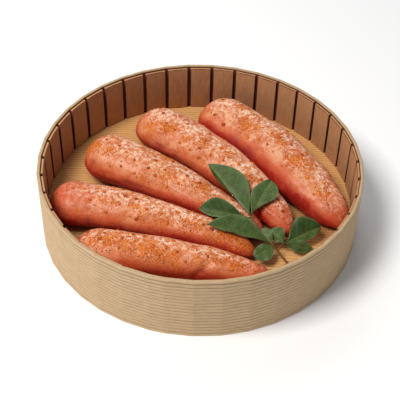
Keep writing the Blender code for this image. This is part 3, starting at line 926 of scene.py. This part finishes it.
class Skin:
    """A sac's fine surface as arrays of points and normals over share and turn."""

    def __init__(self, sac):
        self.sac = sac
        self.flakes = draw_flakes(sac)
        steps = np.arange(RINGS + 1) / RINGS
        self.shares = steps - END_CROWDING * np.sin(math.tau * steps)
        self.shares[0], self.shares[-1] = END_SHARE, 1 - END_SHARE
        turns = math.tau * np.arange(AROUND) / AROUND
        points = [sac_point(sac, share, turn) for share in self.shares for turn in turns]
        self.points = np.array(points)
        self.share = np.repeat(self.shares, AROUND)
        self.turn = np.tile(turns, RINGS + 1)
        self.degrees = np.degrees(self.turn)
        self.flat = np.stack([self.share * sac.length, self.turn * sac.half_width], axis=1)
        self.normals = self.grid_normals()
        self.points += self.normals * self.fine_relief()[:, None]
        self.points[:, 2] = np.maximum(self.points[:, 2], REST_HEIGHT)
        self.normals = self.grid_normals()

    def grid_normals(self):
        """Unit normals from the neighbours on the grid."""
        grid = self.points.reshape(RINGS + 1, AROUND, 3)
        along = np.gradient(grid, axis=0)
        around = np.roll(grid, -1, axis=1) - np.roll(grid, 1, axis=1)
        normals = -np.cross(along, around).reshape(-1, 3)
        return normals / np.maximum(np.linalg.norm(normals, axis=1), 1e-12)[:, None]

    def fine_relief(self):
        """Lumps, wrinkles, folds and furrows, in metres along the normal."""
        seed = Vector((self.sac.seed * 3.7, 0.0, 0.0))
        relief = np.zeros(len(self.points))
        for size, height in FINE_LUMPS:
            relief += [noise.noise(Vector(point) / size + seed) * height
                       for point in self.points]
        spots = np.stack([self.flat[:, 0] / WRINKLE_LENGTH, np.cos(self.turn) / WRINKLE_TURN,
                          np.sin(self.turn) / WRINKLE_TURN], axis=1)
        relief += [noise.noise(Vector(spot) + seed) * WRINKLE_HEIGHT for spot in spots]
        for path, width, depth in CREASES.get(self.sac.name, ()):
            line = [unrolled(self.sac, *place) for place in path]
            relief -= bell(path_distance(self.flat, line), width * MM) * depth * MM
        return relief

    def spots(self, rows):
        """Strongest of soft round spots, from (share, degrees, radius, strength) rows."""
        total = np.zeros(len(self.points))
        for share, degrees, radius, strength in rows:
            gap = np.linalg.norm(self.flat - unrolled(self.sac, share, degrees), axis=1)
            total = np.maximum(total, bell(gap, radius * SPOT_REACH * MM) * strength)
        return total

    def heaps(self):
        """Heaps of chili as (share, degrees, radius, strength), one round each large flake too."""
        return CHILI_PATCHES[self.sac.name] + [
            (flake.share, math.degrees(flake.turn), *FLAKE_SPOT) for flake in self.flakes]

    def deep(self, skins):
        """Strength of the deep red with its painted shade: low down, on the near side, in painted
        shadow spots, beyond one ridge and near the other sacs.
        """
        name = self.sac.name
        tree = point_tree([skin for skin in skins if skin is not self], 5)
        gaps = np.array([tree.find(point)[2] for point in self.points])
        reds = [fade(self.points[:, 2] - REST_HEIGHT, SAC_RED_AND_SHADE_FROM_FLOOR.get(name, RED_AND_SHADE_FROM_FLOOR)),
                fade(-self.degrees, NEAR_SIDES.get(name, NEAR_SIDE)) * 0.9,
                self.spots(PAINTED_SHADOW_SPOTS.get(name, ())),
                fade(gaps, RED_AND_SHADE_FROM_SAC)]
        if name == RIDGED_SAC:
            reds.append(fade(self.degrees, BEYOND_RIDGE) * 0.8)
        return np.max(reds, axis=0)

    def end(self):
        """Strength of the orange-red at both ends and low on the far side."""
        return np.max([bell(self.share, RED_HEADS.get(self.sac.name, RED_HEAD)),
                       bell(1 - self.share, RED_TAIL) * 0.7,
                       fade(self.degrees, FAR_SIDE) * 0.6], axis=0)

    def seam(self):
        """Strength of the painted highlight, a pale line, on the ridge of one sac."""
        across = bell(self.degrees - math.degrees(RIDGE_TURN), 6)
        along = [swell(share, RIDGE_REACH) ** 0.5 for share in self.share]
        return across * along * (self.sac.name == RIDGED_SAC)

    def sample(self, share, turn):
        """Point and normal at any share and turn."""
        row = np.interp(share, self.shares, np.arange(RINGS + 1))
        column = turn / math.tau * AROUND
        low_row, low_column = int(row), int(math.floor(column))
        high_row = min(low_row + 1, RINGS)
        rest, side = row - low_row, column - low_column
        point = np.zeros(3)
        normal = np.zeros(3)
        for near_row, row_weight in ((low_row, 1 - rest), (high_row, rest)):
            for near_column, weight in ((low_column, 1 - side), (low_column + 1, side)):
                index = near_row * AROUND + near_column % AROUND
                point += self.points[index] * (row_weight * weight)
                normal += self.normals[index] * (row_weight * weight)
        return Vector(point), Vector(normal).normalized()

    def build(self, finish, skins):
        """The piece that stands for the sac's node."""
        faces = ring_faces(RINGS + 1, AROUND)
        piece = new_piece(self.sac.name + "_skin", self.points, faces, finish)
        looks = {
            "chili": self.spots(self.heaps()),
            "blush": self.spots([(*row, BLUSH_STRENGTH) for row in BLUSHES[self.sac.name]]),
            # deep red with painted shade
            "deep": self.deep(skins),
            # painted highlight on the upper far side
            "pale": bell(self.degrees - PAINTED_HIGHLIGHT_PLACE[0], PAINTED_HIGHLIGHT_PLACE[1]) * 1.12,
            "dusted": bell(self.degrees - DUST_PLACE[0], DUST_PLACE[1]),
            # painted highlight on the ridge
            "seam": self.seam(),
            "warmth": np.full(len(self.points), WARMTH[self.sac.name]),
            "end": self.end()}
        for name, strengths in looks.items():
            store(piece, name, strengths)
        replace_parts(piece, self.sac.name)


# Chili

def square_axes(up, turn=0.0):
    """Two directions square to a normal, turned round it."""
    side = up.orthogonal().normalized()
    other = up.cross(side)
    return (side * math.cos(turn) + other * math.sin(turn),
            other * math.cos(turn) - side * math.sin(turn))


def add_flakes(grains, skin):
    """The large flakes of one sac: crumbly chips with uneven outlines, rooted in the skin."""
    draw = random.Random(skin.sac.seed + 100)
    count = FLAKE_SIDES * 3
    for flake in skin.flakes:
        place, up = skin.sample(flake.share, flake.turn)
        levels = ((-FLAKE_ROOT, 0.95), (flake.rise * 0.3, 1.0), (flake.rise * 0.75, 0.78),
                  (flake.rise, 0.4))
        points = []
        for level, size in levels:
            ways = circle(*square_axes(up), count, flake.start)
            for index, way in enumerate(ways):
                corner, rest = divmod(index, 3)
                first = flake.reaches[corner]
                second = flake.reaches[(corner + 1) % FLAKE_SIDES]
                reach = (first + (second - first) * rest / 3) * size
                reach *= draw.uniform(*FLAKE_CRUMBLE)
                points.append(place + up * (level * draw.uniform(*FLAKE_ROUGHNESS)) + way * reach)
        grains.add(points, ring_faces(len(levels), count), draw.random() ** 2)


def grain_mesh(draw, place, up, radius, flatness):
    """One small crumb with eight uneven faces, half sunk in what it lies on."""
    side, other = square_axes(up, draw.uniform(0, math.tau))
    reach = [radius * draw.uniform(*GRAIN_UNEVENNESS) for _ in range(5)]
    points = [place + side * reach[0], place - side * reach[1], place + other * reach[2],
              place - other * reach[3], place + up * (reach[4] * flatness),
              place - up * (radius * GRAIN_SINK)]
    return points, OCTAHEDRON


def scatter(grains, skin, count, seed, radii, flatness, heaped, arc):
    """Spread crumbs over the top of a sac; heaped is the share that keeps to the heaps."""
    draw = random.Random(skin.sac.seed * 1000 + seed)
    heaps = skin.heaps()
    weights = [radius ** 2 * strength for _, _, radius, strength in heaps]
    placed = 0
    while placed < count:
        if draw.random() < heaped:
            share, degrees, radius, strength = draw.choices(heaps, weights)[0]
            spread = HEAP_SPREAD * radius * MM
            share += draw.gauss(0, spread / skin.sac.length)
            turn = math.radians(degrees) + draw.gauss(0, spread / skin.sac.half_width)
            if draw.random() > strength:
                continue
        else:
            share = draw.uniform(0.02, 0.98)
            turn = math.radians(draw.triangular(*arc, 88))
        if not 0.01 < share < 0.99:
            continue
        place, up = skin.sample(share, turn)
        crowd = noise.noise(place / CROWD_SIZE + Vector((0, 0, seed)))
        if draw.random() > CROWD_SHARE + CROWD_CONTRAST * crowd:
            continue
        radius = draw.triangular(radii[0], radii[1], radii[0]) * MM
        tone = draw.random()
        grains.add(*grain_mesh(draw, place, up, radius, flatness), tone)
        placed += 1


def build_chili(skins):
    """The three kinds of chili: large flakes, dark specks and fine powder."""
    flakes, specks, powder = Grains(), Grains(), Grains()
    for skin in skins:
        add_flakes(flakes, skin)
        scatter(specks, skin, *SPECKS)
        scatter(powder, skin, *POWDER)
    for grains, name, *look in (
            (flakes, "chili_flakes", "chili_flake", (218, 116, 32), (146, 54, 18), 0.65),
            (specks, "chili_specks", "chili_dark", (176, 88, 48), (128, 58, 28), 0.75),
            (powder, "chili_powder", "chili_orange", (228, 138, 36), (174, 68, 6), 0.85)):
        grains.build(name, chili_finish(*look), "roe_skin")


# Sprig

@dataclass
class Leaf:
    """One leaflet: its two ends and the widest point of each side, in millimetres.

    The tip power is low on a leaflet with a round end and near 1 on a pointed one, and the
    last pair gives the painted light and shade of its left and right half, from dark to light.
    """

    base: Vector
    tip: Vector
    left: Vector
    right: Vector
    tip_power: float
    painted_lights: tuple

    def __post_init__(self):
        for name in ("base", "tip", "left", "right"):
            setattr(self, name, millimetres(*getattr(self, name)))
        self.run = self.tip - self.base
        up = self.run.cross(self.right - self.left).normalized()
        self.up = -up if up.z < 0 else up


# Each row ends with the painted light and shade of the left and right half, from 0 dark to 1 light
LEAVES = [Leaf(*row) for row in (
    ((30.3, -27.7, 26.0), (4.7, 8.0, 35.0), (10.2, 0.2, 29.0), (27.0, -1.6, 34.5), 0.8,
     (0.6, 0.6)),
    ((30.3, -27.7, 26.0), (42.9, -3.2, 33.0), (31.6, -10.7, 31.0), (46.2, -13.8, 30.0), 0.5,
     (0.35, 0.85)),
    ((31.3, -29.0, 25.5), (-0.5, -25.4, 29.0), (10.2, -30.8, 27.2), (11.5, -18.0, 31.0), 0.8,
     (0.75, 0.1)),
    ((42.2, -43.4, 20.3), (4.6, -40.2, 31.0), (20.7, -43.6, 27.0), (23.9, -31.2, 30.0), 0.85,
     (0.85, 0.6)),
    ((50.9, -40.9, 18.3), (72.2, -30.5, 21.0), (58.5, -26.6, 25.0), (63.4, -38.4, 17.0), 0.45,
     (0.0, 0.9)),
    ((50.4, -41.4, 18.3), (67.2, -43.6, 15.0), (61.1, -39.1, 18.0), (58.3, -45.0, 14.0), 0.5,
     (0.4, 0.5)),
    ((43.2, -44.3, 19.7), (35.6, -35.0, 23.0), (36.9, -40.4, 20.0), (42.4, -36.8, 23.0), 0.5,
     (0.8, 0.8)),
    ((49.9, -42.0, 18.35), (41.6, -34.6, 22.0), (43.6, -40.0, 19.0), (49.8, -33.6, 22.0), 0.5,
     (0.7, 0.8)),
    ((43.9, -44.9, 19.2), (32.2, -53.9, 19.5), (41.2, -54.3, 17.0), (35.3, -46.0, 20.5), 0.4,
     (0.95, 0.6)),
)]

MAIN_STEM = [millimetres(*point) for point in (
    (52.9, -54.0, 12.8), (48.8, -49.6, 15.3), (46.2, -46.7, 17.5),
    (42.8, -44.0, 20.0), (36.4, -35.8, 23.2), (30.3, -27.7, 26.0))]
BRANCH = [millimetres(*point) for point in (
    (46.2, -46.7, 17.5), (48.6, -43.4, 18.4), (51.0, -40.8, 18.3))]

# Drops on the leaflets: leaflet index, share of its length, lane and radius in millimetres
DROPS = [
    (0, 0.82, -0.55, 0.5), (0, 0.74, -0.78, 0.4), (0, 0.63, -0.85, 0.45), (0, 0.52, -0.7, 0.35),
    (0, 0.70, 0.10, 0.45), (0, 0.58, 0.35, 0.35), (0, 0.88, 0.10, 0.35), (0, 0.40, -0.55, 0.5),
    (1, 0.62, -0.45, 0.35), (1, 0.80, 0.55, 0.4), (3, 0.60, -0.80, 0.5), (3, 0.72, -0.62, 0.35),
    (3, 0.42, -0.45, 0.35), (4, 0.55, 0.40, 0.35), (8, 0.45, 0.25, 0.35),
]


def leaf_point(leaf, share, lane):
    """Point on a leaflet's middle surface; lane runs from its left edge to its right."""
    edge = leaf.left if lane < 0 else leaf.right
    widest = (edge - leaf.base).dot(leaf.run) / leaf.run.length_squared
    side = edge - (leaf.base + leaf.run * widest)
    skew = math.log(0.5) / math.log(widest)
    power = BASE_POWER + (leaf.tip_power - BASE_POWER) * share
    fullness = math.sin(math.pi * share ** skew) ** power if 0 < share < 1 else 0.0
    width = max(fullness, LEAF_END_WIDTH / side.length)
    ripple = math.sin(math.tau * LEAF_WAVES * share + lane * SIDE_SHIFT) * LEAF_WAVE * abs(lane)
    rise = LEAF_ARCH * 4 * share * (1 - share) + ripple
    return leaf.base + leaf.run * share + side * (width * abs(lane)) + leaf.up * rise


def vein_strengths(share, lane):
    """Strength of the midrib and of the slanting side veins at a place on a leaflet."""
    phase = (share - VEIN_SLANT * abs(lane)) * SIDE_VEINS
    nearness = abs(phase - round(phase))
    return (math.exp(-(lane / MIDRIB_WIDTH) ** 2),
            math.exp(-(nearness / VEIN_WIDTH) ** 2) * max(0.0, 1 - abs(lane)) ** 0.5)


def add_leaf(grains, looks, leaf):
    """A thin closed blade with pinched edges; both faces carry the veins."""
    points = []
    upper = {}
    lower = {}
    for row in range(LEAF_STEPS + 1):
        share = row / LEAF_STEPS
        for column in range(LEAF_LANES + 1):
            lane = 2 * column / LEAF_LANES - 1
            midrib, side_vein = vein_strengths(share, lane)
            middle = leaf_point(leaf, share, lane)
            middle -= leaf.up * (midrib * MIDRIB_DEPTH + side_vein * VEIN_DEPTH)
            half = LEAF_THICKNESS / 2 * (1 - lane ** 6)
            rim = row in (0, LEAF_STEPS) or column in (0, LEAF_LANES)
            # painted light and shade of the two halves, blended across the midrib
            blend = min(1.0, max(0.0, lane * 4 + 0.5))
            painted_light = leaf.painted_lights[0] * (1 - blend) + leaf.painted_lights[1] * blend
            upper[row, column] = len(points)
            for rise in (0.0,) if rim else (half, -half):
                lower[row, column] = len(points)
                points.append(middle + leaf.up * rise)
                looks.append((max(midrib, side_vein * 0.6), abs(lane) ** 8, painted_light))
    faces = []
    for row in range(LEAF_STEPS):
        for column in range(LEAF_LANES):
            keys = ((row, column), (row, column + 1), (row + 1, column + 1), (row + 1, column))
            faces.append(tuple(upper[key] for key in keys))
            faces.append(tuple(lower[key] for key in keys[::-1]))
    grains.add(points, faces)


def smooth_route(route, steps):
    """Points of a smooth curve through the route's own points."""
    ends = [route[0] * 2 - route[1], *route, route[-1] * 2 - route[-2]]
    points = []
    for index in range(len(route) - 1):
        before, start, end, after = ends[index:index + 4]
        for step in range(steps):
            t = step / steps
            points.append(0.5 * ((2 * start) + (end - before) * t
                                 + (2 * before - 5 * start + 4 * end - after) * t ** 2
                                 + (3 * start - before - 3 * end + after) * t ** 3))
    points.append(route[-1])
    return points


def build_sprig(leaf_green, bark):
    """The leaflets as one piece and the stem with its branch as another."""
    blades = Grains()
    looks = []
    for leaf in LEAVES:
        add_leaf(blades, looks, leaf)
    leaves = blades.build("sprig_leaves", leaf_green, "leaf_green")
    for name, values in zip(("vein", "edge", "painted_light"), zip(*looks)):
        store(leaves, name, values)
    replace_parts(leaves, "sprig")
    stems = Grains()
    for route, radius in ((MAIN_STEM, STEM_RADIUS), (BRANCH, BRANCH_RADIUS)):
        points = smooth_route(route, 6)
        radii = [radius * (1 - STEM_TAPER * share) for share in np.linspace(0, 1, len(points))]
        stems.add(*tube_mesh(points, radii, STEM_SIDES))
    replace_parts(stems.build("sprig_stem", bark, "leaf_green"), "sprig")


def build_drops(water):
    """Small flattened drops that lie on the leaflets."""
    drops = Grains()
    for index, share, lane, size in DROPS:
        leaf = LEAVES[index]
        radius = size * MM
        place = leaf_point(leaf, share, lane) + leaf.up * (LEAF_THICKNESS / 2)
        crown = leaf.up * (radius * DROP_FLATNESS)
        points = []
        for ring in range(1, DROP_RINGS):
            angle = math.pi * ring / DROP_RINGS
            points += [place + way * (math.sin(angle) * radius) + crown * math.cos(angle)
                       for way in circle(*square_axes(leaf.up), DROP_SIDES)]
        top, low = len(points), len(points) + 1
        points += [place + crown, place - crown]
        faces = [face[::-1] for face in ring_faces(DROP_RINGS - 1, DROP_SIDES, capped=False)]
        last = (DROP_RINGS - 2) * DROP_SIDES
        for step in range(DROP_SIDES):
            following = (step + 1) % DROP_SIDES
            faces += [(top, step, following), (low, last + following, last + step)]
        drops.add(points, faces)
    drops.build("water_drops", water, "leaf_green")


# Stage

def add_camera():
    """The photograph's view of the tray."""
    data = bpy.data.cameras.new("camera")
    data.lens = LENS
    data.sensor_width = SENSOR
    camera = link("camera", data)
    back = Vector((0.0, -math.cos(CAMERA_ELEVATION), math.sin(CAMERA_ELEVATION)))
    place = CAMERA_TARGET + back * CAMERA_DISTANCE
    aim = (CAMERA_TARGET - place).to_track_quat("-Z", "Y").to_matrix().to_4x4()
    camera.matrix_world = Matrix.Translation(place) @ aim @ Matrix.Rotation(CAMERA_ROLL, 4, "Z")
    bpy.context.scene.camera = camera


def add_light(name, way, distance, size, power, colour):
    """A square soft light that shines on the tray from a direction."""
    data = bpy.data.lights.new(name, "AREA")
    data.shape = "SQUARE"
    data.size = size
    data.energy = power
    data.color = colour
    light = link(name, data)
    light.location = Vector(way).normalized() * distance
    light.rotation_mode = "QUATERNION"
    light.rotation_quaternion = (-light.location).to_track_quat("-Z", "Y")


def add_stage():
    """A plain pale floor, soft studio light and pale surroundings."""
    finish = Finish("pale_floor", roughness=0.9)
    finish.paint((0.9, 0.9, 0.9, 1.0), (finish.noise(0.4), (0.88, 0.885, 0.89, 1.0)))
    mesh = bpy.data.meshes.new("ground")
    corners = [(x * GROUND_REACH, y * GROUND_REACH, 0.0)
               for x, y in ((-1, -1), (1, -1), (1, 1), (-1, 1))]
    mesh.from_pydata(corners, [], [(0, 1, 2, 3)])
    mesh.materials.append(finish.material)
    ground = link("ground", mesh)
    ground.location.z = -GROUND_DROP
    world = bpy.data.worlds.new("surroundings")
    world.use_nodes = True
    background = world.node_tree.nodes["Background"]
    background.inputs["Color"].default_value = (0.93, 0.96, 1.0, 1.0)
    background.inputs["Strength"].default_value = WORLD_STRENGTH
    bpy.context.scene.world = world
    add_light("key", (-0.43, -0.23, 0.875), 1.2, 0.45, 14.6, (1.0, 0.975, 0.94))
    add_light("back", (-0.1, 0.7, 0.7), 1.4, 0.7, 4.0, (0.97, 0.98, 1.0))
    bpy.context.scene.view_settings.view_transform = "Standard"


def main():
    """Build the stage and every piece."""
    add_camera()
    add_stage()
    # painted shade: a dark board for the faces that show only down in the slots between the tabs
    painted_slot_shade = mottled_finish("painted_slot_shade", 0.9, 3 * MM, (0.0, 1.0), (112, 52, 36),
                                (78, 32, 20), 0.1 * MM, 0.4)
    build_wall(board_finish("kraft_ribbed"), painted_slot_shade, board_finish("kraft_cut_edge"))
    build_tabs(board_finish("kraft_inner"), painted_slot_shade)
    finish = skin_finish()
    skins = [Skin(sac) for sac in SACS]
    build_floor(board_finish("kraft_floor"), skins)
    for skin in skins:
        skin.build(finish, skins)
    build_chili(skins)
    bark = mottled_finish("stem_bark", 0.6, 1.5 * MM, (0.35, 0.65), (92, 70, 20),
                          (108, 62, 24), 0.08 * MM, 0.5)
    build_sprig(leaf_finish(), bark)
    build_drops(water_finish())


main()
